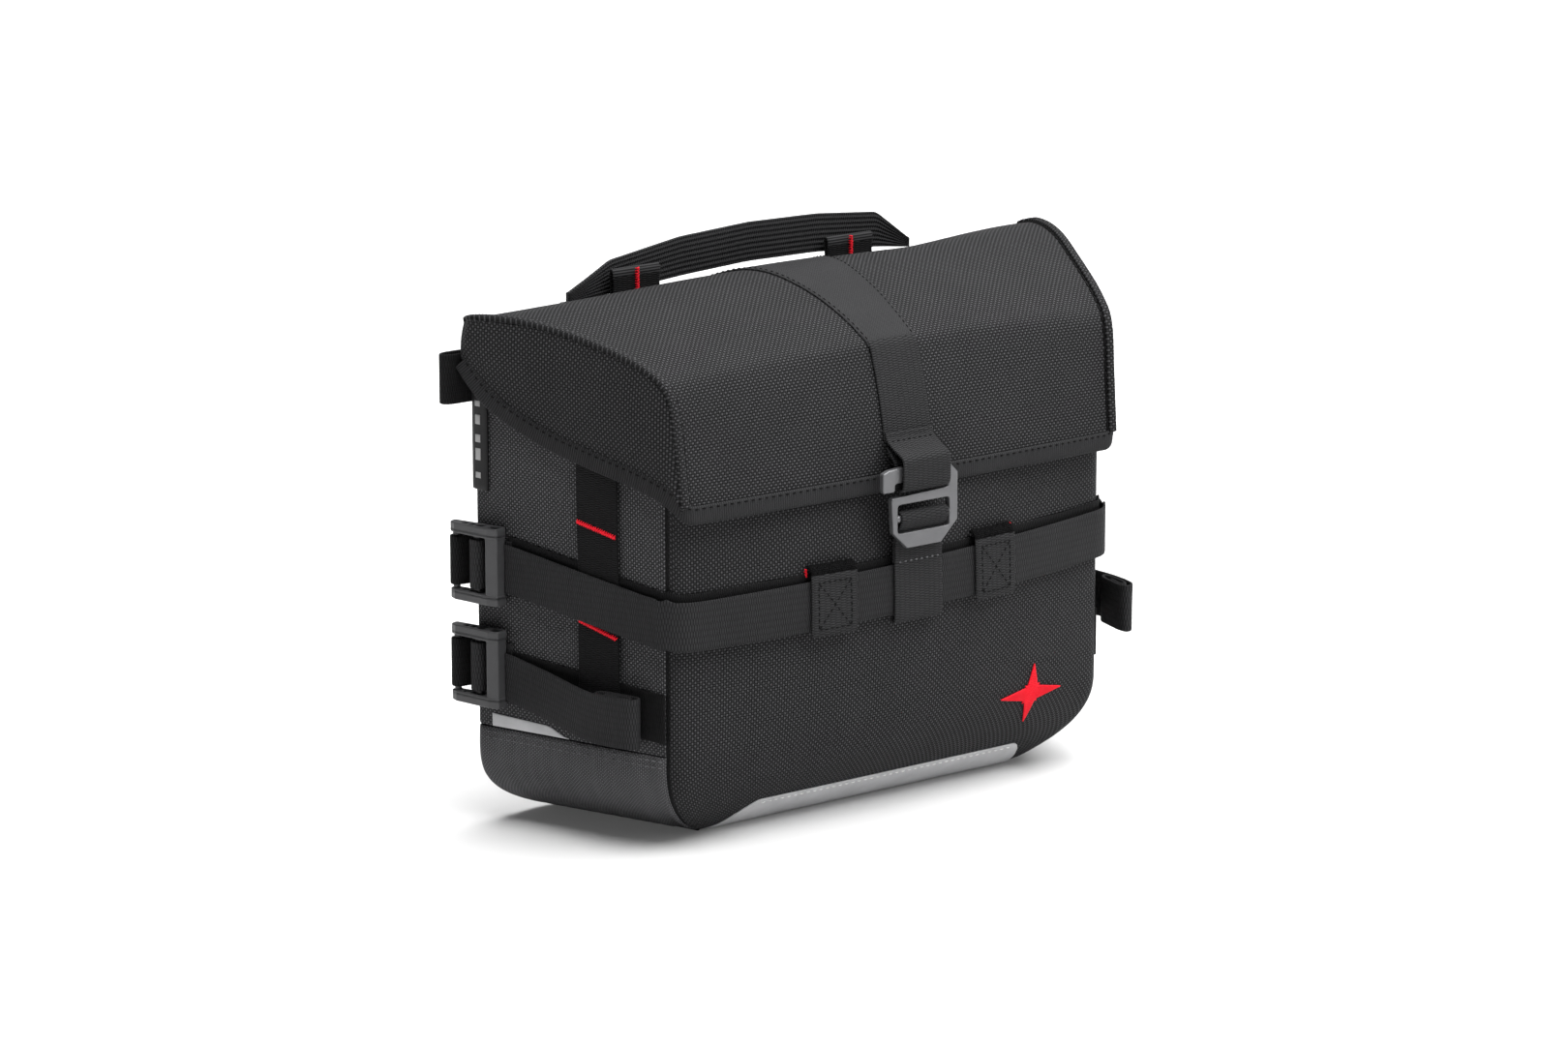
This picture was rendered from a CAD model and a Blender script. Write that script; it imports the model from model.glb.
import math

import bpy
import numpy as np
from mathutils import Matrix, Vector


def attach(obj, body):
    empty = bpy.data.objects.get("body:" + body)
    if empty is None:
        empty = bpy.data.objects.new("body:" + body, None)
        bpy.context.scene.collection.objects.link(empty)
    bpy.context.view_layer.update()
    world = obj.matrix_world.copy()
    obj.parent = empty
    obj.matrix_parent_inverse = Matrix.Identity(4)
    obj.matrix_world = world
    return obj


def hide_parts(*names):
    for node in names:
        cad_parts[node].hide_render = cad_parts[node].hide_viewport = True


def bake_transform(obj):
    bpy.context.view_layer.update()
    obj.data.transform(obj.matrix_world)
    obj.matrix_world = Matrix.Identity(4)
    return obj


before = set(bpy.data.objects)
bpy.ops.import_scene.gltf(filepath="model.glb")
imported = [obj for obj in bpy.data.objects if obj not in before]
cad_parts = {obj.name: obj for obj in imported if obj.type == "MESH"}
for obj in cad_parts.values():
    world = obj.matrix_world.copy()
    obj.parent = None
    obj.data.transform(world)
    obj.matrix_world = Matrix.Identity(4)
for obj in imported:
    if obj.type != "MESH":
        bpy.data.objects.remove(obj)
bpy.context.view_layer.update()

MM = 0.001  # everything below is in millimetres; meshes are made in metres

# ---- sizes of the body and lid, as in the CAD part ----
Y_FRONT, Y_BACK = -57.7, 57.7
FRONT_HALF, BACK_HALF = 136.0, 170.5
BASE_HALF, BASE_Y = 100.0, -28.7
TAPER = 50.0
SLOPE = (BACK_HALF - FRONT_HALF) / (Y_BACK - Y_FRONT)
SIDE_COS = 1 / math.hypot(1, SLOPE)
SIDE_SIN = SLOPE * SIDE_COS
SIDE_LENGTH = (Y_BACK - Y_FRONT) / SIDE_COS
U_SIDE = FRONT_HALF + SIDE_LENGTH
U_BACK = U_SIDE + BACK_HALF
SEAM = 141.0  # the front panel turns round the corner and ends here
SEAM_GAP = 0.8  # panels stop this far from a seam
PANEL = 2.6  # thickness of the padded outer panels
# How far the front bulges, by height, and the mouth's height by depth.
SWELL_Z = [0, 20, 50, 85, 115, 145, 170, 212, 256]
SWELL = [0.6, 4, 9, 12.5, 14, 12.5, 8, 1.5, 0.6]
MOUTH_Y = [-57.7, -54.7, -50, -38, -17, 4, 54.7, 57.7]
MOUTH_Z = [212, 212, 228, 236, 243, 246.5, 249, 249]
LID_OUT = 5.5  # how far the lid's ends stand off the side walls
WIDER = 3.5  # how far the stuffed back corners stand out past the flat pattern
FOOT = 5.0  # radius at the bottom edge
BAND_WIDTH = 25.0  # webbing round the body and on the buckles
HOOK_WEBBING = 30.0  # webbing that carries the hook
BAND_UNDER = 3.4  # the band lies this far off the body, over the inner band and the daisy straps
WEBBING = 1.4  # webbing thickness


def smooth(values, t):
    """Ease from values[0] to values[1] as t goes from 0 to 1."""
    t = np.clip(t, 0, 1)
    return values[0] + (values[1] - values[0]) * t * t * (3 - 2 * t)


def eased(x, xs, ys, window):
    """Piecewise line through the points, with its corners rounded."""
    return sum(np.interp(x + d * window, xs, ys) for d in np.linspace(-1, 1, 9)) / 9


def matched(*values):
    """The values as arrays of one shape."""
    return np.broadcast_arrays(*(np.asarray(v, float) for v in values))


def stacked(x, y, z):
    """Points from their coordinates."""
    return np.stack(np.broadcast_arrays(x, y, z), -1)


def unit(v):
    return v / np.maximum(np.linalg.norm(v, axis=-1, keepdims=True), 1e-9)


def distance_along(points):
    """How far along the line of points each of them lies."""
    return np.concatenate([[0], np.cumsum(np.linalg.norm(np.diff(points, axis=0), axis=1))])


def placed(name, data):
    """A new object in the scene."""
    ob = bpy.data.objects.new(name, data)
    bpy.context.scene.collection.objects.link(ob)
    return ob


# ---- the body's outer surface: u runs round the bag from the middle of the front, z is height ----
def raw_body(u, z):
    """Plan position of the flat pattern, before its corners are softened."""
    a = np.abs(u)
    s = np.clip((a - FRONT_HALF) / SIDE_LENGTH, 0, 1)
    roundness = np.interp(a, [0, 70, FRONT_HALF, U_SIDE], [1.5, 1.6, 2.3, 4.0])
    t = 1 - (1 - np.clip(z / TAPER, 0, 1)) ** roundness
    half = BASE_HALF + (FRONT_HALF - BASE_HALF) * t
    front = BASE_Y + (Y_FRONT - BASE_Y) * t
    back_half = half + SLOPE * (Y_BACK - front) + WIDER * t
    on_back = back_half * (U_BACK - a) / BACK_HALF
    past_corner = np.where(a <= U_SIDE, half + s * (back_half - half), on_back)
    x = np.where(a <= FRONT_HALF, a / FRONT_HALF * half, past_corner)
    swell = np.interp(z, SWELL_Z, SWELL) * (1 - (np.minimum(a, FRONT_HALF) / FRONT_HALF) ** 2)
    y = np.where(a <= FRONT_HALF, front - swell, front + s * (Y_BACK - front))
    return np.stack([np.where(u < 0, -x, x), y], -1)


def soft_body(u, z):
    """The raw outline with its corners rounded both ways."""
    total = 0
    steps = [(du, dz) for du in np.linspace(-6, 6, 5) for dz in np.linspace(-4, 4, 3)]
    for du, dz in steps:
        total = total + raw_body(u + du, z + dz)
    return total / len(steps)


def rest_body(u, z):
    """The body before it is inflated, with fuller side walls and a rounded bottom edge."""
    flat = soft_body(u, z)
    tangent = soft_body(u + 0.5, z) - soft_body(u - 0.5, z)
    tangent /= np.linalg.norm(tangent, axis=-1, keepdims=True)
    outward = np.stack([tangent[..., 1], -tangent[..., 0]], -1)
    on_side = smooth((0, 1), (np.abs(u) - 120) / 30) * smooth((1, 0), (np.abs(u) - U_SIDE + 12) / 20)
    puff = 1.2 * np.sin(np.clip(z / TAPER, 0, 1) * math.pi) * on_side
    inset = FOOT - np.sqrt(np.maximum(FOOT**2 - np.maximum(FOOT - z, 0) ** 2, 0))
    xy = flat + outward * (puff - inset)[..., None]
    return np.concatenate([xy, z[..., None]], -1)


def mouth(u):
    """Height of the bag's mouth."""
    s = (np.abs(u) - FRONT_HALF) / SIDE_LENGTH
    return np.interp(Y_FRONT + s * (Y_BACK - Y_FRONT), MOUTH_Y, MOUTH_Z)


LOW_ROWS, HIGH_ROWS = 13, 42
U_STOPS = [(-U_BACK, -U_SIDE, 20), (-U_SIDE, -SEAM, 28), (-SEAM, SEAM, 68), (SEAM, U_SIDE, 28),
           (U_SIDE, U_BACK, 20)]
grid_u = np.concatenate([np.linspace(a, b, n + 1)[:-1] for a, b, n in U_STOPS] + [[U_BACK]])


def row_of(u, z):
    """Row of the body grid, counted with fractions, at height z."""
    low = z / TAPER * LOW_ROWS
    high = LOW_ROWS + (z - TAPER) / (mouth(u) - TAPER) * HIGH_ROWS
    return np.where(z < TAPER, low, high)


def cubic(t):
    """Catmull-Rom weights of the four points round t."""
    return np.stack(
        [
            -0.5 * t**3 + t**2 - 0.5 * t,
            1.5 * t**3 - 2.5 * t**2 + 1,
            -1.5 * t**3 + 2 * t**2 + 0.5 * t,
            0.5 * t**3 - 0.5 * t**2,
        ],
        -1,
    )


class Grid:
    """A grid of points, read anywhere between them on a smooth surface."""

    def __init__(self, points):
        self.points = points

    def at(self, row, column):
        rows, columns = self.points.shape[:2]
        row, column = np.broadcast_arrays(row, column)
        r0 = np.clip(np.floor(row).astype(int), 0, rows - 2)
        c0 = np.clip(np.floor(column).astype(int), 0, columns - 2)
        wr, wc = cubic(row - r0), cubic(column - c0)
        total = 0
        for i in range(4):
            ri = np.clip(r0 + i - 1, 0, rows - 1)
            for j in range(4):
                ci = np.clip(c0 + j - 1, 0, columns - 1)
                total = total + (wr[..., i] * wc[..., j])[..., None] * self.points[ri, ci]
        return total

    def normal(self, row, column):
        along = self.at(row, column + 0.1) - self.at(row, column - 0.1)
        up = self.at(row + 0.1, column) - self.at(row - 0.1, column)
        return unit(np.cross(along, up))


STIFF = 40.0
FRAMES = 20


def inflate(points, pinned, cap, pressure):
    """Blow a grid of fabric up between its pinned seams by cloth simulation; no point moves more than cap."""
    rows, columns = points.shape[:2]
    index = np.arange(rows * columns).reshape(rows, columns)
    faces = np.stack([index[:-1, :-1], index[:-1, 1:], index[1:, 1:], index[1:, :-1]], -1).reshape(-1, 4)
    me = bpy.data.meshes.new("inflate")
    me.from_pydata((points.reshape(-1, 3) * MM).tolist(), [], faces.tolist())
    ob = placed("inflate", me)
    group = ob.vertex_groups.new(name="pin")
    group.add(index[pinned].ravel().tolist(), 1.0, "REPLACE")
    cloth = ob.modifiers.new("cloth", "CLOTH")
    settings = cloth.settings
    settings.quality = 6
    settings.mass = 0.3
    settings.tension_stiffness = settings.compression_stiffness = STIFF
    settings.shear_stiffness = STIFF / 3
    settings.bending_stiffness = 4.0
    settings.vertex_group_mass = "pin"
    settings.use_pressure = True
    settings.uniform_pressure_force = pressure
    settings.effector_weights.gravity = 0
    cloth.point_cache.frame_start, cloth.point_cache.frame_end = 1, FRAMES
    scene = bpy.context.scene
    for number in range(1, FRAMES + 1):
        scene.frame_set(number)
    moved = ob.evaluated_get(bpy.context.evaluated_depsgraph_get()).to_mesh()
    out = np.zeros(rows * columns * 3)
    moved.vertices.foreach_get("co", out)
    scene.frame_set(1)
    bpy.data.objects.remove(ob)
    bpy.data.meshes.remove(me)
    shift = out.reshape(points.shape) / MM - points
    size = np.linalg.norm(shift, axis=-1, keepdims=True)
    return points + shift * np.minimum(size, cap) / np.maximum(size, 1e-6)


def band_middle(u):
    """Height of the middle of the band round the front."""
    return eased(u, [-240, -136, 136, 240], [134.5, 116.0, 124.0, 134.5], 14)


shares = np.arange(LOW_ROWS + HIGH_ROWS + 1.0)
every_u = np.broadcast_to(grid_u, (len(shares), len(grid_u)))
low_z = shares[:, None] / LOW_ROWS * TAPER
high_z = TAPER + (shares[:, None] - LOW_ROWS) / HIGH_ROWS * (mouth(every_u) - TAPER)
every_z = np.where(shares[:, None] < LOW_ROWS, low_z, high_z)
body_points = rest_body(every_u, every_z)
seam_columns = np.isclose(np.abs(every_u), SEAM) | (np.abs(every_u) >= U_SIDE - 0.1)
seam_rows = (shares[:, None] == 0) | (shares[:, None] == LOW_ROWS) & (np.abs(every_u) >= SEAM)
mouth_rows = shares[:, None] >= LOW_ROWS + HIGH_ROWS - 1
held = (np.abs(every_z - band_middle(every_u)) < 9) & (np.abs(every_u) < 234)  # under the band
held |= (np.abs(every_z - 75) < 10) & (np.abs(every_u) > SEAM)  # under the lower straps
body_grid = Grid(inflate(body_points, seam_columns | seam_rows | mouth_rows | held, cap=4.0, pressure=4.0))


def body(u, z, off=0.0):
    """A point on the inflated body, or off millimetres outside it."""
    u, z, off = matched(u, z, off)
    row, column = row_of(u, z), np.interp(u, grid_u, np.arange(len(grid_u)))
    return body_grid.at(row, column) + body_grid.normal(row, column) * off[..., None]


# ---- the lid's outer surface ----
# q runs from its left end (-1) to its right (1), f from the hinge (0) to the end of its front (1).
LID_EDGE_LINE = [(57.7, 255), (46, 257.8), (25, 258.4), (4, 255.8), (-17, 251.2), (-36, 245.8), (-48, 240.5),
                 (-55.5, 235), (-59.5, 226), (-61.5, 212), (-64, 190), (-66.5, 168)]
LID_MIDDLE_LINE = [(57.7, 256), (46, 260.2), (33, 264.8), (20, 266.4), (4, 264.8), (-17, 259.2), (-36, 251.2),
                   (-48, 244.4), (-55.5, 239.4), (-59.6, 230), (-63, 212), (-66.5, 190), (-69.5, 168)]


def smooth_line(points, step=0.5):
    """Points evenly spaced along a smooth curve through the given ones, and the curve's length."""
    p = np.asarray(points, float)
    ends = np.concatenate([2 * p[:1] - p[1:2], p, 2 * p[-1:] - p[-2:-1]])
    t = np.linspace(0, 1, 17)[:-1]
    w = cubic(t)
    runs = [w @ ends[i : i + 4] for i in range(len(p) - 1)]
    dense = np.concatenate(runs + [p[-1:]])
    reach = distance_along(dense)
    count = max(int(reach[-1] / step), 8) + 1
    at = np.linspace(0, reach[-1], count)
    return np.stack([np.interp(at, reach, dense[:, k]) for k in range(p.shape[1])], -1), reach[-1]


LID_ROWS, LID_COLUMNS = 50, 76
CROWN_POWER = 2.2  # how flat the crown is between the lid's ends
edge_line, _ = smooth_line(LID_EDGE_LINE)
middle_line, LID_LENGTH = smooth_line(LID_MIDDLE_LINE)
lid_f = np.linspace(0, 1, LID_ROWS + 1)
lid_q = np.linspace(-1, 1, LID_COLUMNS + 1)
edge_yz, middle_yz = (
    np.stack([np.interp(lid_f, np.linspace(0, 1, len(line)), line[:, k]) for k in (0, 1)], -1)
    for line in (edge_line, middle_line)
)
middle_share = (1 - np.abs(lid_q) ** CROWN_POWER)[None, :, None]
lid_yz = edge_yz[:, None] * (1 - middle_share) + middle_yz[:, None] * middle_share
lid_half = FRONT_HALF + SLOPE * (np.maximum(edge_yz[:, 0], -75) - Y_FRONT) + LID_OUT + 0.4
lid_half = lid_half + smooth((6.0, 0), lid_f / 0.4)  # fuller a little in front of the hinge
lid_half = lid_half - smooth((5.0, 0), lid_f / 0.05) - smooth((0, 1.5), (lid_f - 0.5) / 0.3)
lid_points = np.concatenate([(lid_half[:, None] * lid_q)[..., None], lid_yz], -1)
lid_pins = np.zeros(lid_points.shape[:2], bool)
lid_pins[:, [0, -1]] = lid_pins[[0, -1]] = True
stiffener_end = np.argmin(np.abs(edge_yz[:, 0] + 55.0) + (edge_yz[:, 1] < 215) * 99)  # its row of points
lid_pins[stiffener_end] = True
# Its columns are turned round for the simulation, so that the pressure pushes outward.
lid_grid = Grid(inflate(lid_points[:, ::-1], lid_pins, cap=1.8, pressure=3.0)[:, ::-1])


def lid(x, f, off=0.0):
    """A point on the lid x from its middle."""
    x, f, off = matched(x, f, off)
    row = f * LID_ROWS
    column = (x / np.interp(f, lid_f, lid_half) + 1) / 2 * LID_COLUMNS
    return lid_grid.at(row, column) - lid_grid.normal(row, column) * off[..., None]


def lid_share(z):
    """Share of the way to the front edge at which the middle of the lid's front is at height z."""
    z_line = lid_grid.at(lid_f * LID_ROWS, LID_COLUMNS / 2)[:, 2]
    front = lid_f > 0.5
    return np.interp(-z, -z_line[front], lid_f[front])


# ---- geometry: each builder returns (vertices, faces, uv in millimetres) ----
def spread(start, end, step, rim):
    """Positions from start to end, closer together near both ends."""
    count = max(2, math.ceil((end - start - 2 * rim) / step) + 1)
    inner = np.linspace(start + rim, end - rim, count)
    return np.concatenate([[start, start + 0.3 * rim], inner, [end - 0.3 * rim, end]])


def shell(surface, a_span, b_span, low, high, step=2.5, b_step=None, rim=None, relief=None):
    """A sheet of the surface from offset low to high, with rounded edges. b_span may change with a."""
    thick = high - low
    rim = thick / 2 if rim is None else rim
    a = spread(*a_span, step, rim)
    b0, b1 = (np.asarray(b(a) if callable(b) else np.full(len(a), float(b))) for b in b_span)
    width = np.maximum(b1 - b0, 1e-3)
    share = spread(0, width.max(), b_step or step, min(rim, width.max() / 3)) / width.max()
    every_a = np.broadcast_to(a[:, None], (len(a), len(share)))
    every_b = b0[:, None] + share * width[:, None]
    da = np.minimum(every_a - a[0], a[-1] - every_a)
    db = np.minimum(share, 1 - share) * width[:, None]
    inside = np.clip(np.minimum(da, db) / rim, 0, 1)
    h = thick / 2 * np.sqrt(1 - (1 - inside) ** 2)
    middle = (low + high) / 2
    lift = (relief(every_a, every_b) if relief else 0) * np.minimum(inside, 1)
    top, bottom = surface(every_a, every_b, middle + h + lift), surface(every_a, every_b, middle - h)
    na, nb = every_a.shape
    index = np.arange(na * nb).reshape(na, nb)
    under = np.full((na, nb), -1)
    under[1:-1, 1:-1] = na * nb + np.arange((na - 2) * (nb - 2)).reshape(na - 2, nb - 2)
    under = np.where(under < 0, index, under)
    vertices = np.concatenate([top.reshape(-1, 3), bottom[1:-1, 1:-1].reshape(-1, 3)])
    uv = np.stack([every_a, every_b], -1)
    uv = np.concatenate([uv.reshape(-1, 2), uv[1:-1, 1:-1].reshape(-1, 2)])
    i, j = na // 2, nb // 2
    spot = every_a[i, j], every_b[i, j]
    outward = surface(*spot, high + 1) - surface(*spot, high)
    flip = np.dot(np.cross(top[i + 1, j] - top[i, j], top[i, j + 1] - top[i, j]), outward) < 0
    quads = lambda g: np.stack([g[:-1, :-1], g[1:, :-1], g[1:, 1:], g[:-1, 1:]], -1).reshape(-1, 4)
    upper, lower = quads(index), quads(under)[:, ::-1]
    faces = np.concatenate([upper, lower])
    return vertices, (faces[:, ::-1] if flip else faces), uv


def mirrored(part):
    """The part on the other side of the bag."""
    vertices, faces, uv = part
    return vertices * [-1, 1, 1], [list(f)[::-1] for f in faces], uv


SIDES = (("left", mirrored), ("right", lambda part: part))  # parts are made on the right side


def both(parts):
    return [*parts, *[mirrored(p) for p in parts]]


def tubes(centres, side, up, radius):
    """Closed threads: centres (count, points, 3), radius for each point."""
    count, points = centres.shape[:2]
    turn = np.linspace(0, 2 * math.pi, 7)[:-1]
    ring = side[:, :, None] * np.cos(turn)[:, None] + up[:, :, None] * np.sin(turn)[:, None]
    vertices = centres[:, :, None] + ring * np.asarray(radius)[None, :, None, None]
    index = np.arange(count * points * 6).reshape(count, points, 6)
    after = np.roll(index, -1, axis=2)
    walls = np.stack([index[:, :-1], index[:, 1:], after[:, 1:], after[:, :-1]], -1).reshape(-1, 4).tolist()
    caps = index[:, 0].tolist() + index[:, -1, ::-1].tolist()
    flat = vertices.reshape(-1, 3)
    return flat, walls + caps, flat[:, :2]


def threads(surface, a, b, base, arch, radius):
    """Threads that lie on a surface along rows of points (a, b), lifted by arch."""
    centres = surface(a, b, base + arch)
    up = unit(surface(a, b, base + 1.0) - surface(a, b, base + 0.0))
    along = unit(np.gradient(centres, axis=1))
    return tubes(centres, unit(np.cross(along, up)), up, radius)


def stitches(surface, path, length=2.7, gap=1.5, radius=0.36, rise=0.25, base=0.0):
    """A row of stitches along a path of (a, b) points on a surface."""
    path = np.asarray(path, float)
    steps = [np.linspace(p, q, 24)[:-1] for p, q in zip(path[:-1], path[1:])]
    dense = np.concatenate(steps + [path[-1:]])
    where = surface(dense[:, 0], dense[:, 1], base)
    reach = distance_along(where)
    count = max(1, int(reach[-1] / (length + gap)))
    pitch = reach[-1] / count
    start = (np.arange(count) + 0.5) * pitch - length / 2
    at = start[:, None] + np.linspace(0, length, 5)
    a, b = (np.interp(at, reach, dense[:, k]) for k in (0, 1))
    arch = np.array([-0.45, 0.6, 1, 0.6, -0.45]) * rise
    return threads(surface, a, b, base, arch, radius * np.array([0.35, 0.95, 1, 0.95, 0.35]))


def tack(surface, start, end, width=2.4, base=0.0, pitch=0.62):
    """A dense bar of satin stitches from start to end."""
    start, end = np.asarray(start, float), np.asarray(end, float)
    count = int(np.linalg.norm(end - start) / pitch)
    middle = start + (end - start) * ((np.arange(count) + 0.5) / count)[:, None]
    direction = (end - start) / np.linalg.norm(end - start)
    across = np.array([-direction[1], direction[0]])
    lean = np.where(np.arange(count) % 2, 0.5, -0.25)
    reach = np.linspace(-width / 2, width / 2, 5)
    jitter = np.sin(np.arange(count) * 2.3) * 0.12
    offsets = (across[k] * (reach + jitter[:, None]) + direction[k] * lean[:, None] * reach for k in (0, 1))
    a, b = (middle[:, None, k] + offset for k, offset in enumerate(offsets))
    arch = np.array([-0.3, 0.35, 0.5, 0.35, -0.3])
    return threads(surface, a, b, base, arch, np.array([0.2, 0.4, 0.42, 0.4, 0.2]))


class Line:
    """A smooth line in a plane, with its normal, read by the distance along it."""

    def __init__(self, points):
        self.points, self.length = smooth_line(points, 0.4)
        along = np.gradient(self.points, axis=0)
        along /= np.linalg.norm(along, axis=1, keepdims=True)
        self.normals = np.stack([-along[:, 1], along[:, 0]], -1)
        self.reach = np.linspace(0, self.length, len(self.points))

    def at(self, a, off):
        read = lambda values, k: np.interp(a, self.reach, values[:, k])
        return [read(self.points, k) + read(self.normals, k) * off for k in (0, 1)]


def strap(line, place, width, thick=WEBBING, step=1.5, b_step=4.0, middle=None, **more):
    """Webbing whose middle line lies in a plane; place(p, q, b) gives the point in space.

    Returns the part, its surface and its length.
    """
    line = Line(line)

    def surface(a, b, off):
        p, q = line.at(a, off)
        return place(p, q, b + (middle(a / line.length) if middle else 0))

    half = width / 2
    part = shell(surface, (0, line.length), (-half, half), -thick / 2, thick / 2, step, b_step, **more)
    return part, surface, line.length


def at_yz(y, z, x):
    return stacked(x, y, z)


def leaning(points):
    """The soft lid leans: its right back part stands fuller and its left back part lower."""
    x, y, z = points.T
    reach = smooth((0, 1), (y + 62) / 75) * smooth((0, 1), (z - 195) / 50)
    right = smooth((0, 1), (x - 75) / 95) * reach
    left = smooth((0, 1), (-x - 30) / 130) * reach
    return points + np.stack([4.0 * right, 0 * right, 5.5 * right - 0.8 * left], -1)


def piece(name, parts, material, rides="bag", replaces=()):
    """One object from its parts, on the body that it rides. The lid and the fabric at its hinge lean."""
    vertices, faces, uvs, start = [], [], [], 0
    for part_vertices, part_faces, uv in parts:
        if rides in ("lid", None):
            part_vertices = leaning(part_vertices)
        vertices.append(np.maximum(part_vertices, [-np.inf, -np.inf, 0.0]))  # nothing below the floor
        uvs.append(uv)
        as_lists = part_faces.tolist() if isinstance(part_faces, np.ndarray) else part_faces
        faces += [[i + start for i in f] for f in as_lists]
        start += len(part_vertices)
    me = bpy.data.meshes.new(name)
    me.from_pydata((np.concatenate(vertices) * MM).tolist(), [], faces)
    me.polygons.foreach_set("use_smooth", np.ones(len(me.polygons), bool))
    layer = me.uv_layers.new(name="weave")
    corner = np.zeros(len(me.loops), int)
    me.loops.foreach_get("vertex_index", corner)
    layer.data.foreach_set("uv", np.concatenate(uvs)[corner].ravel())
    me.materials.append(material)
    me.update()
    ob = placed(name, me)
    if rides:
        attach(ob, rides)
    if replaces:
        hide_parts(*replaces)
    return ob


def stand_in(name, parts, material, rides="bag", nodes=None):
    """A piece that replaces the CAD node of its own name, or the nodes given, in their material slot."""
    return piece(name, parts, material, rides, nodes or [name])


def pair(name, part, material, rides="bag"):
    """The left and right pieces made from one part."""
    return [stand_in(f"{side}_{name}", [sided(part)], material, rides) for side, sided in SIDES]


# ---- materials ----
class Graph:
    """A material under construction."""

    def __init__(self, name, **sockets):
        self.material = bpy.data.materials.new(name)
        self.material.use_nodes = True
        self.tree = self.material.node_tree
        self.shader = self.tree.nodes["Principled BSDF"]
        for key, value in sockets.items():
            self.shader.inputs[key.replace("_", " ").title().replace("Ior", "IOR")].default_value = value

    def node(self, kind, settings=(), **inputs):
        made = self.tree.nodes.new(kind)
        for key, value in dict(settings).items():
            setattr(made, key, value)
        for key, value in inputs.items():
            self.put(made.inputs[key.replace("_", " ")], value)
        return made

    def put(self, socket, value):
        if isinstance(value, bpy.types.NodeSocket):
            self.tree.links.new(value, socket)
        else:
            socket.default_value = value

    def math(self, operation, a, b=0.0, clamp=False):
        made = self.tree.nodes.new("ShaderNodeMath")
        made.operation, made.use_clamp = operation, clamp
        self.put(made.inputs[0], a)
        self.put(made.inputs[1], b)
        return made.outputs[0]

    def blend(self, share, a, b):
        """Colour or number a where share is 0, b where it is 1."""
        made = self.tree.nodes.new("ShaderNodeMix")
        is_colour = isinstance(a, tuple)
        made.data_type = "RGBA" if is_colour else "FLOAT"
        first = 6 if is_colour else 2  # the node keeps its number and colour sockets side by side
        self.put(made.inputs[0], share)
        self.put(made.inputs[first], a)
        self.put(made.inputs[first + 1], b)
        return made.outputs[2 if is_colour else 0]

    def uv(self):
        """Millimetres along and across the fabric."""
        uv = self.node("ShaderNodeUVMap", {"uv_map": "weave"})
        split = self.node("ShaderNodeSeparateXYZ", Vector=uv.outputs[0])
        return split.outputs[0], split.outputs[1]

    def arch(self, value):
        """0 at each whole number and 1 half way between."""
        return self.math("SINE", self.math("MULTIPLY", self.math("FRACT", value), math.pi))

    def noise(self, scale, detail=3.0):
        place = self.node("ShaderNodeTexCoord")
        spot = place.outputs["Object"]
        return self.node("ShaderNodeTexNoise", Vector=spot, Scale=scale, Detail=detail).outputs[0]

    def bump(self, height, distance, strength=1.0):
        made = self.node("ShaderNodeBump", Height=height, Distance=distance, Strength=strength)
        self.tree.links.new(made.outputs[0], self.shader.inputs["Normal"])

    def colour(self, share, dark, light, mottle=0.25, mottle_scale=40.0):
        """Colour from dark to light by share, a little uneven all over."""
        base = self.blend(share, (*dark, 1), (*light, 1))
        uneven = self.math("ADD", self.math("MULTIPLY", self.noise(mottle_scale), mottle), 1 - mottle / 2)
        spotted = self.node("ShaderNodeMix", {"data_type": "RGBA", "blend_type": "MULTIPLY"})
        spotted.inputs[0].default_value = 1.0
        self.put(spotted.inputs[6], base)
        self.put(spotted.inputs[7], uneven)
        self.tree.links.new(spotted.outputs[2], self.shader.inputs["Base Color"])


def grey(level, blue=1.04):
    return (level, level, level * blue)


def woven(name, pitch, dark, light, warp=0.4, depth=0.0005, rough=0.6):
    """Basket weave of round threads."""
    g = Graph(name, roughness=rough, specular_ior_level=0.05)
    x, y = g.uv()
    a, b = g.math("DIVIDE", x, pitch), g.math("DIVIDE", y, pitch * 0.92)
    over = g.math("FLOORED_MODULO", g.math("ADD", g.math("FLOOR", a), g.math("FLOOR", b)), 2.0)
    arch_a, arch_b = g.arch(a), g.arch(b)
    run_a = g.math("MULTIPLY", arch_a, g.math("ADD", g.math("MULTIPLY", arch_b, 0.5), 0.5))
    half_a = g.math("ADD", g.math("MULTIPLY", arch_a, 0.5), 0.5)
    run_b = g.math("MULTIPLY", arch_b, g.math("MULTIPLY", half_a, warp))
    height = g.blend(over, run_a, run_b)
    share = g.math("POWER", height, 1.2)
    g.colour(share, grey(dark), grey(light))
    g.bump(height, depth)
    return g.material


def ribbed(name, pitch, dark, light, column=3.1):
    """Webbing or tape with ribs across its length, in columns."""
    g = Graph(name, roughness=0.6, specular_ior_level=0.06)
    x, y = g.uv()
    half_steps = g.math("MULTIPLY", g.math("FLOOR", g.math("DIVIDE", y, column)), 0.5)
    rib = g.arch(g.math("ADD", g.math("DIVIDE", x, pitch), half_steps))
    lane = g.arch(g.math("DIVIDE", y, column))
    height = g.math("MULTIPLY", rib, g.math("ADD", g.math("MULTIPLY", lane, 0.25), 0.75))
    g.colour(g.math("POWER", height, 0.7), grey(dark), grey(light))
    g.bump(height, 0.0003)
    return g.material


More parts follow.
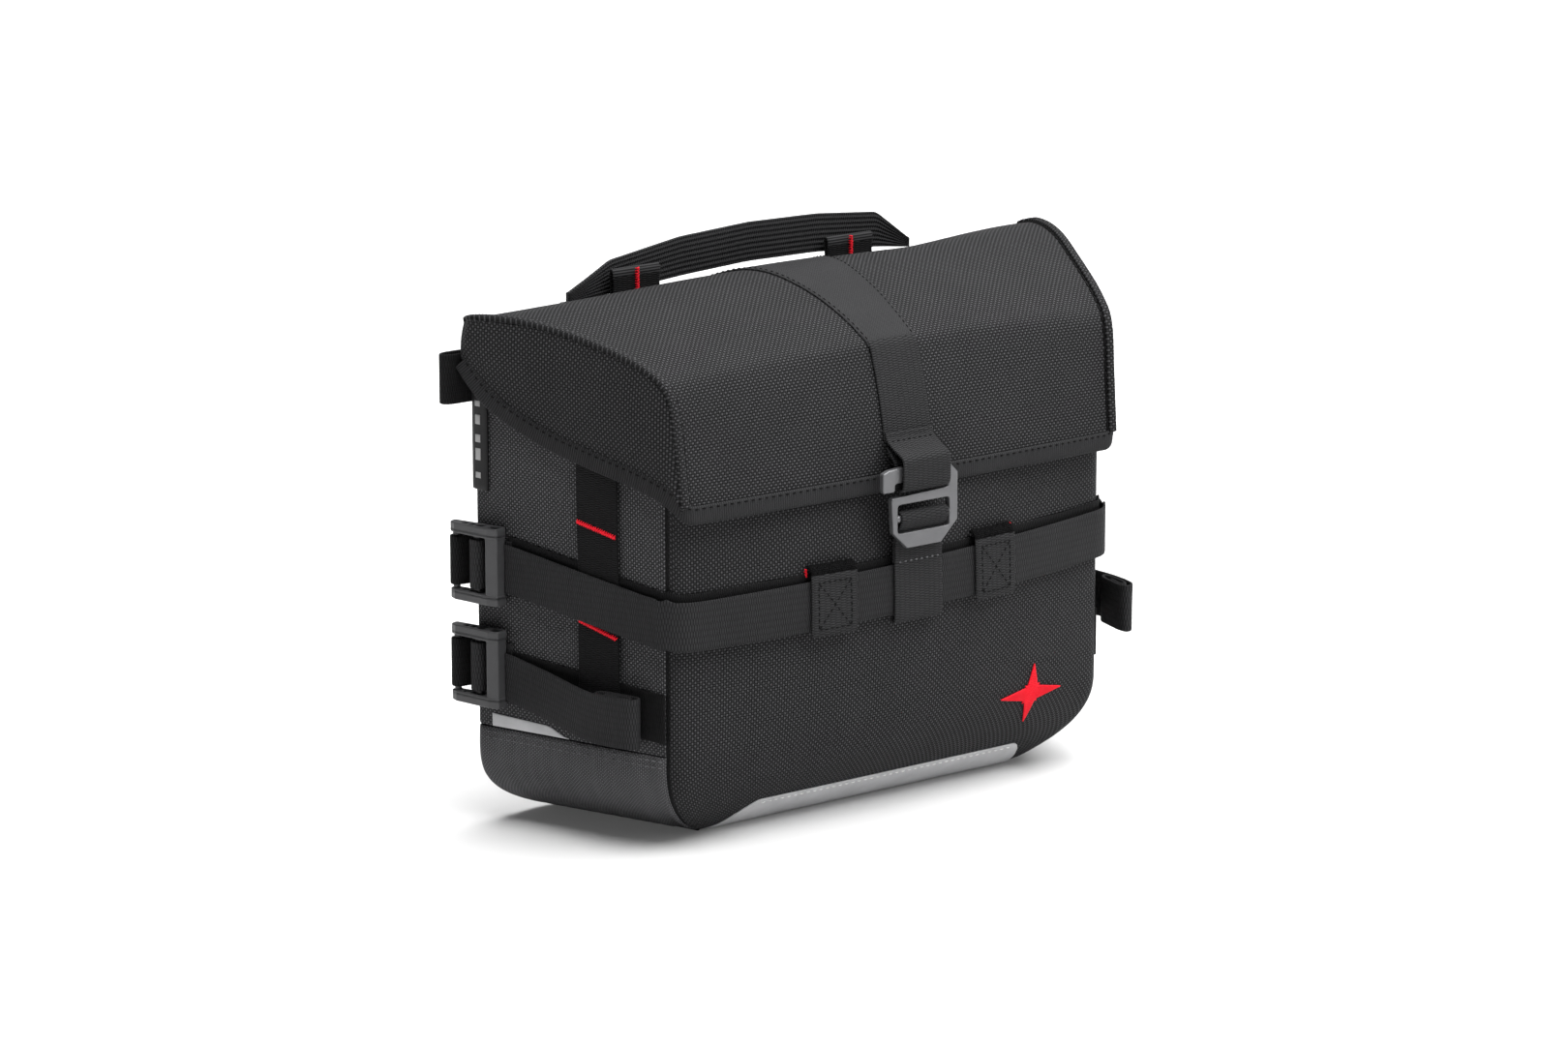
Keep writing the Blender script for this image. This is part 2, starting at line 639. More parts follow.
def moulded(name, colour, rough, metallic=0.0, grain=2500.0, gloss=0.1):
    """Plastic, rubber, thread or anodised metal with a fine grain and slight wear."""
    g = Graph(name, metallic=metallic, roughness=rough, specular_ior_level=gloss)
    fine = g.noise(grain, 2.0)
    darker, lighter = (tuple(c * k for c in colour) for k in (0.8, 1.15))
    g.colour(g.noise(90.0), darker, lighter, 0.12, 260.0)
    worn = g.math("ADD", g.math("MULTIPLY", g.noise(120.0), 0.2), rough - 0.1)
    g.put(g.shader.inputs["Roughness"], worn)
    g.bump(fine, 0.00004)
    return g.material


ballistic = woven("ballistic_nylon", 1.45, 0.002, 0.074)
side_cloth = woven("side_fabric", 1.3, 0.003, 0.15)
cap_cloth = woven("cap_fabric", 0.95, 0.026, 0.16, warp=0.5, depth=0.0002)
strip_cloth = woven("strip_fabric", 0.8, 0.012, 0.047, warp=0.7, depth=0.00015)
lining_cloth = woven("lining_cloth", 0.6, 0.02, 0.06, warp=0.7, depth=0.0001)
webbing = ribbed("webbing", 1.25, 0.003, 0.029)
dark_webbing = ribbed("dark_webbing", 1.15, 0.001, 0.011)
handle_webbing = ribbed("handle_webbing", 1.4, 0.004, 0.036)
tape = ribbed("edge_tape", 1.3, 0.006, 0.03, column=20.0)
fuzz = woven("hook_and_loop", 0.7, 0.002, 0.012, depth=0.0006, rough=0.9)
thread = moulded("dark_thread", (0.003, 0.003, 0.0032), 0.7)
pale_thread = moulded("pale_thread", (0.12, 0.12, 0.125), 0.7)
white_thread = moulded("white_thread", (0.75, 0.75, 0.74), 0.7)
red_thread = moulded("red_thread", (0.72, 0.012, 0.025), 0.55)
plastic = moulded("buckle_plastic", (0.045, 0.045, 0.047), 0.42, gloss=0.3)
metal = moulded("hook_metal", (0.13, 0.13, 0.135), 0.4, metallic=0.6, gloss=0.4)
rubber = moulded("tag_rubber", (0.006, 0.006, 0.0065), 0.5, gloss=0.2)
tag_print = moulded("tag_print", (0.3, 0.3, 0.3), 0.5)
reflective = moulded("reflector", (0.43, 0.43, 0.44), 0.4, grain=6000.0, gloss=0.3)


# ---- body panels ----
PANEL_RIM = 1.6


def below_mouth(drop):
    return lambda u: mouth(u) - drop


def body_panel(span, z0, z1, high=0.0, step=2.2, relief=None):
    """A padded panel of the body; its UV runs in millimetres round the bag and up it."""
    return shell(body, span, (z0, z1), -PANEL, high, step, rim=PANEL_RIM, relief=relief)


def gathers(u, z):
    """Small folds where the cap is sewn to the side panel and to the front."""
    u = np.abs(u)
    fade = smooth((0.15, 1), (z - 8) / 36) * smooth((0, 1), (u - SEAM) / 14)
    folds = 0.42 * np.sin(u / 1.45 + 1.7 * np.sin(u / 7.0)) * fade
    return folds - 1.4 * np.exp(-(((u - SEAM - 7 - z * 0.1) / 4.5) ** 2))


front_span = (-SEAM + SEAM_GAP, SEAM - SEAM_GAP)
front = stand_in("front_panel", [body_panel(front_span, 0.4, below_mouth(2))], ballistic)
for name, span in (("left", (-U_SIDE, -SEAM - SEAM_GAP)), ("right", (SEAM + SEAM_GAP, U_SIDE))):
    panel = stand_in(f"{name}_side_panel", [body_panel(span, TAPER, below_mouth(2))], side_cloth)
    cap_part = body_panel(span, 0.4, TAPER, high=0.4, step=1.2, relief=gathers)
    stand_in(f"{name}_base_cap", [cap_part], cap_cloth)
round_the_back = lambda a, b, off: body(np.where(a > U_BACK, a - 2 * U_BACK, a), b, off)
back_span = (U_SIDE + SEAM_GAP, 2 * U_BACK - U_SIDE - SEAM_GAP)
back = shell(round_the_back, back_span, (0.4, 248.0), -PANEL, 0.0, 4.0, rim=PANEL_RIM)
stand_in("back_panel", [back], side_cloth)


def base_surface(a, b, off):
    """The flat base: a is the share of its half width, b the depth."""
    half = BASE_HALF + SLOPE * (b - BASE_Y) - 1.0
    return stacked(a * half, b, PANEL + off)


base = shell(base_surface, (-1, 1), (BASE_Y + 2.5, Y_BACK - 1.5), -PANEL, 0.0, 0.03, 4.0, rim=0.01)
stand_in("base_panel", [base], cap_cloth)

seam_strip = shell(body, (SEAM - 2.5, SEAM + 2.5), (6.0, below_mouth(3)), -2.2, -0.7, 0.8, 2.0)
piece("corner_seams", both([seam_strip]), dark_webbing)

# ---- inside ----
ALL_ROUND = (-U_BACK, U_BACK)
lining = shell(body, ALL_ROUND, (4.0, below_mouth(4)), -3.6, -2.7, 6.0)
floor_lining = shell(base_surface, (-0.97, 0.97), (BASE_Y + 5, Y_BACK - 4), 2.0, 3.0, 0.05, 6.0, rim=0.01)
covered = ["liner", "back_board", "base_board"]
stand_in("bag_lining", [lining, floor_lining], lining_cloth, nodes=covered)
hem = shell(body, ALL_ROUND, (below_mouth(9), below_mouth(0.5)), -3.9, 0.6, 3.0)
stand_in("mouth_binding", [hem], tape)


# ---- straps that lie on the body ----
def side_y(y):
    """u of a point on the right side wall at depth y."""
    return FRONT_HALF + (y - Y_FRONT) / SIDE_COS


def along_line(middle, below, above):
    """The lower and upper edge of webbing whose middle runs at height middle(u)."""
    return lambda u: middle(u) - below, lambda u: middle(u) + above


BAND_U = side_y(36.0)  # the buckles' front edges, where the webbing on the sides ends
HALF_BAND = BAND_WIDTH / 2
band_edges = along_line(band_middle, HALF_BAND, HALF_BAND)
band = shell(body, (-BAND_U, BAND_U), band_edges, BAND_UNDER, BAND_UNDER + WEBBING, 2.0, 3.0)
stand_in("front_band", [band], webbing)
under = shell(body, (-BAND_U, BAND_U), along_line(band_middle, 9, 16), 0.2, 0.2 + WEBBING, 2.0, 3.0)
stand_in("inner_band", [under], dark_webbing)


def over_band(x_middle):
    """Place for a strap that runs up over the band: p is the height, q the offset."""
    return lambda p, q, b: body(x_middle + b, band_middle(x_middle) + p, q)


def box_and_cross(surface, a0, a1, reach=9.5):
    """Stitching round a box and corner to corner."""
    b0, b1 = -reach, reach
    outline = [(a0, b0), (a1, b0), (a1, b1), (a0, b1), (a0, b0)]
    rows = [outline, [(a0, b0), (a1, b1)], [(a0, b1), (a1, b0)]]
    return [stitches(surface, row, 2.2, 0.9, 0.3, 0.2, 0.7) for row in rows]


bumps = np.random.default_rng(11).normal(0, 0.35, (40, 60))


def hooks_and_loops(a, b):
    """Rough relief of the hook-and-loop patch."""
    at = (np.asarray(value * 1.7).astype(int) for value in (a, b + 20))
    return bumps[tuple(index % count for index, count in zip(at, bumps.shape))]


KEEPER_FACE = [(-14.8, 5.6), (-14, 5.9), (0, 5.9), (13.5, 5.9), (15.2, 5.6)]
KEEPER_FOLD = [(15.0, 5.8), (17.2, 5.2), (18.6, 3.6), (18.8, 2.4), (18.4, 1.2)]
for name, x in (("left", -51.0), ("right", 51.0)):
    face, surface, length = strap(KEEPER_FACE, over_band(x), 27.0, step=2.0, b_step=2.5)
    stand_in(f"{name}_band_keeper", [face], webbing)
    piece(f"{name}_keeper_stitching", box_and_cross(surface, 4, length - 4), thread)
    top, *_ = strap(KEEPER_FOLD, over_band(x), 26.5, 1.8, step=0.6, b_step=0.7, relief=hooks_and_loops)
    piece(f"{name}_keeper_fold", [top], fuzz)

anchor_line = [(14.6, 5.9), (8, 5.9), (-8, 5.9), (-14.5, 5.9), (-16.4, 5.0), (-16.6, 4.0), (-15.6, 2.6),
               (-12, 2.4), (10, 2.4)]
anchor, anchor_at, _ = strap(anchor_line, over_band(0.0), HOOK_WEBBING, step=1.0)
stand_in("hook_anchor", [anchor], webbing)


def turned(surface):
    """The surface's other face, for stitching on it."""
    return lambda a, b, off: surface(a, b, -off)


row = stitches(turned(anchor_at), [(1.2, -13.5), (1.2, 13.5)], 1.7, 1.5, 0.42, 0.3, 0.7)
piece("hook_anchor_stitching", [row], pale_thread)

up_the_side = lambda a, b, off: body(b, a, off)
daisy_span = (side_y(-28.0), side_y(-5.0))
daisy = shell(up_the_side, (53.0, 196.0), daisy_span, 1.7, 1.7 + WEBBING, 1.2, 3.0)
LOWER_Z = 78.5  # middle of the lower strap at its buckle
lower_middle = lambda u: np.interp(u, [SEAM, BAND_U], [69.0, LOWER_Z])
lower_edges = along_line(lower_middle, HALF_BAND, HALF_BAND)
lower = shell(body, (SEAM + 0.5, BAND_U), lower_edges, 0.2, 0.2 + WEBBING, 2.0, 3.0)

# The left strap's rolled end, and the right one's, which hangs loose.
roll = [(BAND_U, 4.4), (214, 4.9), (202, 7.0), (188, 10.4), (178, 12.2), (168, 13.0), (157, 12.7),
        (153.2, 10.8), (152.6, 8.6), (153.6, 5.8), (158, 4.8), (168, 4.7), (174.6, 5.2), (177.2, 8.0),
        (174.6, 10.6), (166, 10.9), (158.6, 10.4), (156.6, 8.7), (158.8, 7.0), (166, 6.7), (171, 7.4),
        (171.6, 8.6), (168, 9.0), (163, 8.8)]
loose = [(36, 4.4), (20, 6.0), (2, 11.5), (-14, 18.0), (-28, 22.8), (-41, 24.6), (-47.5, 22.6), (-48.6, 19.6),
         (-45, 17.4), (-34, 16.2), (-27, 16.0), (-24, 18.2), (-27, 20.4), (-38, 22.0), (-44, 20.6),
         (-41, 18.8), (-32, 18.2)]
loose = [(side_y(y), off) for y, off in loose]
roll_z = lambda share: eased(share, [0, 0.12, 0.36, 1], [LOWER_Z, 73.8, 67.6, 67.4], 0.05)
round_the_side = lambda p, q, b: body(p, b, q)
tails = {
    name: strap(line, round_the_side, BAND_WIDTH, step=1.0, b_step=3.5, middle=middle)[0]
    for name, line, middle in (("left", roll, roll_z), ("right", loose, lambda share: LOWER_Z + 0 * share))
}
small_tacks = []
for x in (-64.5, 66.0):
    small_tacks.append(tack(body, (x, band_middle(x) + 14.4), (x, band_middle(x) + 18.4), 1.4, 1.2))
side_tacks = [tack(up_the_side, (162.8, side_y(-5.6)), (157.4, side_y(-27)), 2.6, 3.1),
              tack(up_the_side, (113.0, side_y(-6)), (106.6, side_y(-27)), 2.6, 3.1)]
pair("daisy_strap", daisy, dark_webbing)
pair("lower_strap", lower, dark_webbing)
for name, sided in SIDES:
    stand_in(f"{name}_strap_tail", [sided(tails[name])], webbing)

# ---- trim ----
STRIP_FRONT, STRIP_BACK = side_y(2.9), side_y(46.6)
strip_top = lambda u: 50.8 + smooth((0.2, 4.4), (u - STRIP_FRONT) / 14) + (u - STRIP_FRONT) * 0.045
side_strip = shell(body, (STRIP_FRONT, STRIP_BACK), (50.6, strip_top), -0.2, 0.6, 1.5, 1.5)
pair("side_reflector", side_strip, reflective)


def low_front(x, z, off):
    """The lower front by true x: the body narrows there."""
    bend = np.interp(np.abs(x), [0, 70, 110], [1.5, 1.6, 2.2])
    half = BASE_HALF + (FRONT_HALF - BASE_HALF) * (1 - (1 - np.clip(z / TAPER, 0, 1)) ** bend)
    return body(x / half * FRONT_HALF, z, off)


def reflector_top(x):
    """It rises in a slope at its left end and ends in a quarter round at its right."""
    round_end = np.sqrt(np.clip(1 - (np.maximum(x - 88, 0) / 9.5) ** 2, 0.01, 1))
    return 1.4 + smooth((0, 15.8), (x + 98) / 24) * round_end


front_strip = shell(low_front, (-98, 97), (1.0, reflector_top), -0.2, 0.7, 2.0, 1.5)
stand_in("front_reflector", [front_strip], reflective)
xs = np.linspace(-74, 88, 40)
sewn = stitches(low_front, np.stack([xs, reflector_top(xs) - 1.8], -1), 2.4, 1.6, 0.3, 0.2, 0.75)
piece("reflector_stitching", [sewn], white_thread)


STAR_X, STAR_Z = 87.0, 47.0


def arm(angle, reach, half):
    """One satin-stitched arm of the star."""

    def surface(a, b, off):
        x = STAR_X + a * math.cos(angle) - b * math.sin(angle)
        z = STAR_Z + a * math.sin(angle) + b * math.cos(angle)
        return low_front(x, z, off)

    width = lambda a: half * (1 - np.clip(a / reach, 0, 1)) + 0.25
    satin = lambda a, b: 0.22 * np.sin(a * 2 * math.pi / 0.9)
    edges = (lambda a: -width(a), width)
    return shell(surface, (0, reach), edges, 0.0, 0.9, 0.22, 0.9, rim=0.5, relief=satin)


star = [arm(i * math.pi / 2, (21.0, 16.0)[i % 2], (4.4, 4.6)[i % 2]) for i in range(4)]
star += [arm(math.pi / 4 + i * math.pi / 2, 7.0, 2.6) for i in range(4)]
stand_in("emblem", star, red_thread)

tag_at = lambda a, b, off: body(b, a, off) * [-1, 1, 1]
tag = shell(tag_at, (170.0, 220.5), (side_y(46.5), side_y(57.4)), 0.2, 2.0, 2.0, 1.5, rim=0.8)
stand_in("side_tag", [tag], rubber)
bars = []
for start, length in zip(range(176, 221, 9), (3, 6, 4, 5, 3)):
    bars.append(shell(tag_at, (start, start + length), (side_y(50.5), side_y(54.0)), 1.6, 2.3, 1.0, 1.0))
piece("side_tag_bars", bars, tag_print)

sewn = [stitches(body, [(SEAM + 2, z), (U_SIDE - 3, z)], 2.6, 1.3, 0.3, 0.22, 0.4) for z in (47.6, 44.4)]
piece("cap_stitching", both(sewn), pale_thread)

# ---- lid ----
EDGE_TOP = 177.0  # top of the front edge tape
f_edge = lid_share(EDGE_TOP)
f_low = lid_share(168.6)
half_at = lambda f: np.interp(f, lid_f, lid_half)


def lid_sheet(low, high, f0, f1, step, inset=0.0):
    """A sheet of the lid from end to end. Its UV is in millimetres."""
    surface = lambda a, b, off: lid(b * (half_at(a / LID_LENGTH) - inset), a / LID_LENGTH, off)
    a_span = (f0 * LID_LENGTH, f1 * LID_LENGTH)
    part = shell(surface, a_span, (-1.0, 1.0), low, high, 2.2, step / 150, rim=0.008)
    part[2][:, 1] *= half_at(part[2][:, 0] / LID_LENGTH)
    return part


outer = lid_sheet(-2.4, 0.0, 0.0, f_edge + 0.01, 2.2)
stand_in("lid_top", [outer], ballistic, "lid", ["lid_shell"])
inner = lid_sheet(-3.4, -2.6, 0.02, f_edge, 6.0, inset=3.0)
stand_in("lid_lining", [inner], lining_cloth, "lid", ["lid_stiffener"])

GUSSET_EDGE = [(57.0, 232), (50, 223), (42, 214), (29, 205), (10, 196.5), (-10, 191), (-38, 184), (-58, 177),
               (-66.4, 171.5)]
edge_curve = smooth_line(GUSSET_EDGE)[0]


def side_x(y, off=0.0):
    """How far the lower edge of the lid's end stands out at depth y."""
    straight = FRONT_HALF + SLOPE * (y - Y_FRONT) + (LID_OUT + off) / SIDE_COS
    return straight - smooth((0, 1.5), (-y - 20) / 35) + smooth((0, 4), (y - 15) / 40)


def gusset_surface(a, b, off):
    """a is the share along the lid's end from the back, b from the lower edge (0) to the top (1)."""
    a, b, off = matched(a, b, off)
    end = lid_grid.at(a * f_edge * LID_ROWS, float(LID_COLUMNS))
    share = np.linspace(0, 1, len(edge_curve))
    slow = smooth((0, 1), a) * 0.35 + a * 0.65
    y, z = (np.interp(slow, share, edge_curve[:, k]) for k in (0, 1))
    low_point = stacked(side_x(y), y, z + 5.0)
    point = low_point + (end - low_point) * b[..., None]
    puff = 2.4 * np.sin(math.pi * np.clip(b, 0, 1)) * (0.6 + 0.4 * np.sin(math.pi * np.clip(a, 0, 1)))
    return point + np.array([SIDE_COS, -SIDE_SIN, 0]) * (off + puff)[..., None]


gusset = shell(gusset_surface, (0.0, 1.0), (0.0, 0.985), -2.4, -0.2, 0.012, 0.03, rim=0.01)
gusset = (gusset[0], gusset[1], gusset[0][:, 1:])  # its weave runs by depth and height
for gusset_piece in pair("lid_gusset", gusset, ballistic, "lid"):
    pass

# Edge tape: stations along one side, across the front and along the other side.
side_run = edge_curve[::2]
side_run = side_run[side_run[:, 0] > -63]
right_points = stacked(side_x(side_run[:, 0], 0.6), side_run[:, 0], side_run[:, 1] + 4.6)
tangent = np.gradient(right_points, axis=0)
outward = np.broadcast_to([SIDE_COS, -SIDE_SIN, 0], right_points.shape)
right_up = unit(np.cross(outward, tangent))
right_up *= np.sign(right_up[:, 2:3])
xs = np.linspace(1, -1, 280) * (half_at(f_edge) - 3)
f_tape = (f_edge + f_low) / 2
front_points = lid(xs, f_tape, 0.2)
front_up = unit(lid(xs, f_edge, 0.2) - lid(xs, f_low, 0.2))
front_out = unit(lid(xs, f_tape, 1.2) - lid(xs, f_tape, 0.2))
places_ups_outs = ((right_points, front_points), (right_up, front_up), (outward, front_out))
stations = [np.concatenate([right, front, (right * [-1, 1, 1])[::-1]]) for right, front in places_ups_outs]
reach = distance_along(stations[0])
TAPE_LENGTH = reach[-1]


def tape_surface(a, b, off):
    """a runs along the tape, b from its lower edge, off outward."""
    a, b, off = matched(a, b, off)
    averaged = []
    for station in stations:
        near = [[np.interp(a + d, reach, values) for values in station.T] for d in (-4, -2, 0, 2, 4)]
        averaged.append(sum(stacked(*spot) for spot in near) / len(near))
    place, up, out = averaged
    return place + unit(up) * (b - 4.7)[..., None] + unit(out) * off[..., None]


ribs = lambda a, b: 0.1 * np.sin(a * 2 * math.pi / 1.3)
tape_span = (1.0, TAPE_LENGTH - 1.0)
binding = shell(tape_surface, tape_span, (0.0, 9.6), -3.2, 0.9, 0.33, 1.3, rim=0.9, relief=ribs)
stand_in("lid_binding", [binding], tape, "lid")


def straight(start, end, b, count):
    """Points from start to end along a surface's first direction, at b on its second."""
    return np.stack([np.linspace(start, end, count), np.full(count, b)], -1)


sewn = stitches(tape_surface, straight(3, TAPE_LENGTH - 3, 7.9, 200), 2.1, 2.0, 0.46, 0.16, 0.95)
piece("lid_binding_stitching", [sewn], thread, "lid")


def end_seam(a, b, off):
    """The folded seam along the lid's right end; b is the distance in from the end."""
    return lid(half_at(a / LID_LENGTH) + 1.0 - b, a / LID_LENGTH, off)


twist = lambda a, b: 0.14 * np.sin((a + b * 0.8) * 2 * math.pi / 1.9)
EDGE_A = f_edge * LID_LENGTH
fold_seam = shell(end_seam, (0.6, EDGE_A), (0.0, 5.4), -1.0, 2.1, 0.5, 0.9, rim=1.5, relief=twist)
groove = stitches(end_seam, straight(2, EDGE_A - 1, 5.9, 120), 6.0, 0.05, 0.6, 0.05, 0.1)
stand_in("lid_piping", both([fold_seam]), ballistic, "lid")
piece("lid_piping_stitching", both([groove]), thread, "lid")

# Strip over the middle of the lid, then the webbing down to the hook.
CREASE_A = lid_share(238.5) * LID_LENGTH  # where the strip ends, at the lid's front crease
f_fold = lid_share(193.0)
strip_half = lambda a: 15.6 + 17.4 * (1 - np.clip(a / CREASE_A, 0, 1)) ** 1.5
on_lid = lambda a, b, off: lid(b, a / LID_LENGTH, off)
strip = shell(on_lid, (1.0, CREASE_A), (lambda a: -strip_half(a), strip_half), -0.3, 1.0, 2.2, 2.5, rim=0.7)
stand_in("lid_centre_strip", [strip], strip_cloth, "lid")
end_row = [(CREASE_A - 2.2, -14), (CREASE_A - 2.2, 14)]
rows = [stitches(on_lid, end_row, 2.2, 1.1, 0.3, 0.2, 1.0)]
a_run = np.linspace(3, CREASE_A - 3, 60)
for sign in (-1, 1):
    edge_row = np.stack([a_run, sign * (strip_half(a_run) - 1.6)], -1)
    rows.append(stitches(on_lid, edge_row, 2.4, 1.2, 0.28, 0.18, 1.0))
piece("lid_strip_stitching", rows, thread, "lid")
down = shell(on_lid, (CREASE_A - 3, f_fold * LID_LENGTH), (-15.0, 15.0), 0.0, WEBBING, 1.5, 3.0)
stand_in("lid_webbing", [down], webbing, "lid")

_, y0, z0 = lid(0.0, f_fold - 0.004, 1.6)
loop_line = [(y0 + 0.2, z0 + 3.5), (y0 - 1.0, z0), (-75.4, 190.2), (-82.0, 187.0), (-83.3, 183.4),
             (-83.4, 178), (-83.2, 173.2), (-82, 170.9), (-79.8, 170.1), (-77.6, 170.9), (-76.5, 173.2),
             (-76.4, 179), (-76.2, 183.4), (-73.4, 186.6), (y0 - 0.4, z0 - 3.4)]
loop, loop_at, _ = strap(loop_line, at_yz, HOOK_WEBBING, step=0.8)
stand_in("lid_hook_loop", [loop], webbing, "lid")
row = stitches(turned(loop_at), [(5.2, -13.5), (5.2, 13.5)], 2.0, 1.2, 0.3, 0.2, 0.7)
piece("lid_hook_loop_stitching", [row], thread, "lid")

# ---- hinge fabric between the back panel and the lid ----
HINGE_HALF = 174.0
hinge = Line([(58.3, 238), (58.6, 246), (58.8, 251), (57.8, 254.4), (53, 256.2), (46, 257.6)])


def hinge_surface(a, b, off):
    a, b, off = matched(a, b, off)
    y, z = hinge.at(a, off)
    crown = np.clip(1 - np.abs(b) ** CROWN_POWER, 0, 1) * np.clip((z - 252) / 8, 0, 1) * 2.4
    return stacked(b * HINGE_HALF, y, z + crown)


fold = shell(hinge_surface, (0, hinge.length - 6), (-1.0, 1.0), -0.5, 0.5, 1.5, 0.03, rim=0.006)
fold[2][:, 1] *= HINGE_HALF
hinge_piece = piece("hinge_fold", [fold], ballistic, None)
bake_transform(hinge_piece)


# ---- rigid hardware from outlines ----
def rounded(points, radius, steps=5):
    """A polygon with its corners rounded."""
    p = np.asarray(points, float)
    out = []
    for before, here, after in zip(np.roll(p, 1, 0), p, np.roll(p, -1, 0)):
        a, b = unit(before - here), unit(after - here)
        half = math.acos(np.clip(np.dot(a, b), -1, 1)) / 2
        shorter = min(np.linalg.norm(before - here), np.linalg.norm(after - here))
        reach = min(radius / math.tan(half), 0.45 * shorter)
        r = reach * math.tan(half)
        centre = here + unit(a + b) * (r / math.sin(half))
        first, last = here + a * reach - centre, here + b * reach - centre
        out += [centre + unit(first * (1 - t) + last * t) * r for t in np.linspace(0, 1, steps)]
    return np.array(out)


def plate(outlines, thick, bevel, place):
    """A flat piece with holes, from outlines in a plane; place(p, q, off) gives the point in space."""
    data = bpy.data.curves.new("plate", "CURVE")
    data.dimensions = "2D"
    data.fill_mode = "BOTH"
    data.extrude = thick / 2 - bevel
    data.bevel_depth = bevel
    data.bevel_resolution = 2
    data.offset = -bevel
    for outline in outlines:
        spline = data.splines.new("POLY")
        spline.points.add(len(outline) - 1)
        flat_and_weight = np.tile([0.0, 1.0], (len(outline), 1))
        spline.points.foreach_set("co", np.concatenate([outline, flat_and_weight], 1).ravel())
        spline.use_cyclic_u = True
    ob = placed("plate", data)
    me = bpy.data.meshes.new_from_object(ob.evaluated_get(bpy.context.evaluated_depsgraph_get()))
    co = np.zeros(len(me.vertices) * 3)
    me.vertices.foreach_get("co", co)
    co = co.reshape(-1, 3)
    faces = [list(f.vertices) for f in me.polygons]
    bpy.data.objects.remove(ob)
    bpy.data.meshes.remove(me)
    return place(co[:, 0], co[:, 1], co[:, 2]), faces, co[:, :2]


def hard_piece(name, parts, material, rides):
    """A stand-in with crisp faces and smooth bevels."""
    ob = stand_in(name, parts, material, rides)
    ob.modifiers.new("weld", "WELD").merge_threshold = 0.00001
    ob.data.shade_smooth()
    ob.modifiers.new("normals", "WEIGHTED_NORMAL").keep_sharp = True


HOOK_FRONT, HOOK_THICK = -81.5, 3.5
hook_outline = [(-26, 170.6), (-26, 180.4), (-22, 181.8), (12.6, 184.6), (21.5, 175.6), (21.5, 151.5),
                (11, 141.2), (-10.5, 141.2), (-19.5, 149.7), (-20.65, 167.5), (15.4, 168.8), (15.4, 175.4),
                (-18.4, 174.6), (-18.4, 170.6)]
hook_window = [(-16.6, 149.2), (16.2, 149.2), (16.2, 163.6), (-16.6, 163.6)]
hook_at = lambda p, q, off: stacked(p, HOOK_FRONT + HOOK_THICK / 2 - off, q)
hook = [plate([rounded(hook_outline, 1.2), rounded(hook_window, 1.6)], HOOK_THICK, 0.7, hook_at)]
HOOK_BAR = (-79.5, 156.4)  # depth and height of the round bar in the hook's window
SIDES_OF_BAR = 16
ends, turns = np.meshgrid([-17.4, 17.4], np.linspace(0, 2 * math.pi, SIDES_OF_BAR + 1)[:-1], indexing="ij")
bar = np.stack([ends, HOOK_BAR[0] + 2 * np.cos(turns), HOOK_BAR[1] + 2 * np.sin(turns)], -1).reshape(-1, 3)
ring = list(range(SIDES_OF_BAR))
after = ring[1:] + ring[:1]
around = [[i, j, SIDES_OF_BAR + j, SIDES_OF_BAR + i] for i, j in zip(ring, after)]
hook.append((bar, around + [ring[::-1], [SIDES_OF_BAR + i for i in ring]], bar[:, [0, 2]]))
hard_piece("g_hook", hook, metal, "g_hook")

tab_line = [(-75.3, 133.0), (-75.6, 142), (-76.4, 151)]
for turn in np.radians(np.linspace(0, 200, 9)):
    tab_line.append((HOOK_BAR[0] + 2.9 * math.cos(turn), HOOK_BAR[1] + 2.9 * math.sin(turn)))
tab_line += [(-80.6, 152.6), (-78.2, 148.8), (-77.0, 143), (-76.9, 133.0)]
tab, *_ = strap(tab_line, at_yz, HOOK_WEBBING, step=0.8)
stand_in("hook_tab", [tab], webbing, "hook_tab")


# ---- ladder-lock buckles ----
def side_plane(x, z, off):
    """Right side wall's plane: x to the front, off outward."""
    origin_x = (FRONT_HALF + BACK_HALF) / 2
    return stacked(origin_x - SIDE_SIN * x + SIDE_COS * off, -SIDE_COS * x - SIDE_SIN * off, z)


FRONT_X = -38.5 / SIDE_COS  # the buckles' front edges
BAR_X, BAR_OFF = FRONT_X - 27.0, 7.9  # the rear bar, on which a buckle turns
MIDDLE_BAR_X = FRONT_X - 13.4


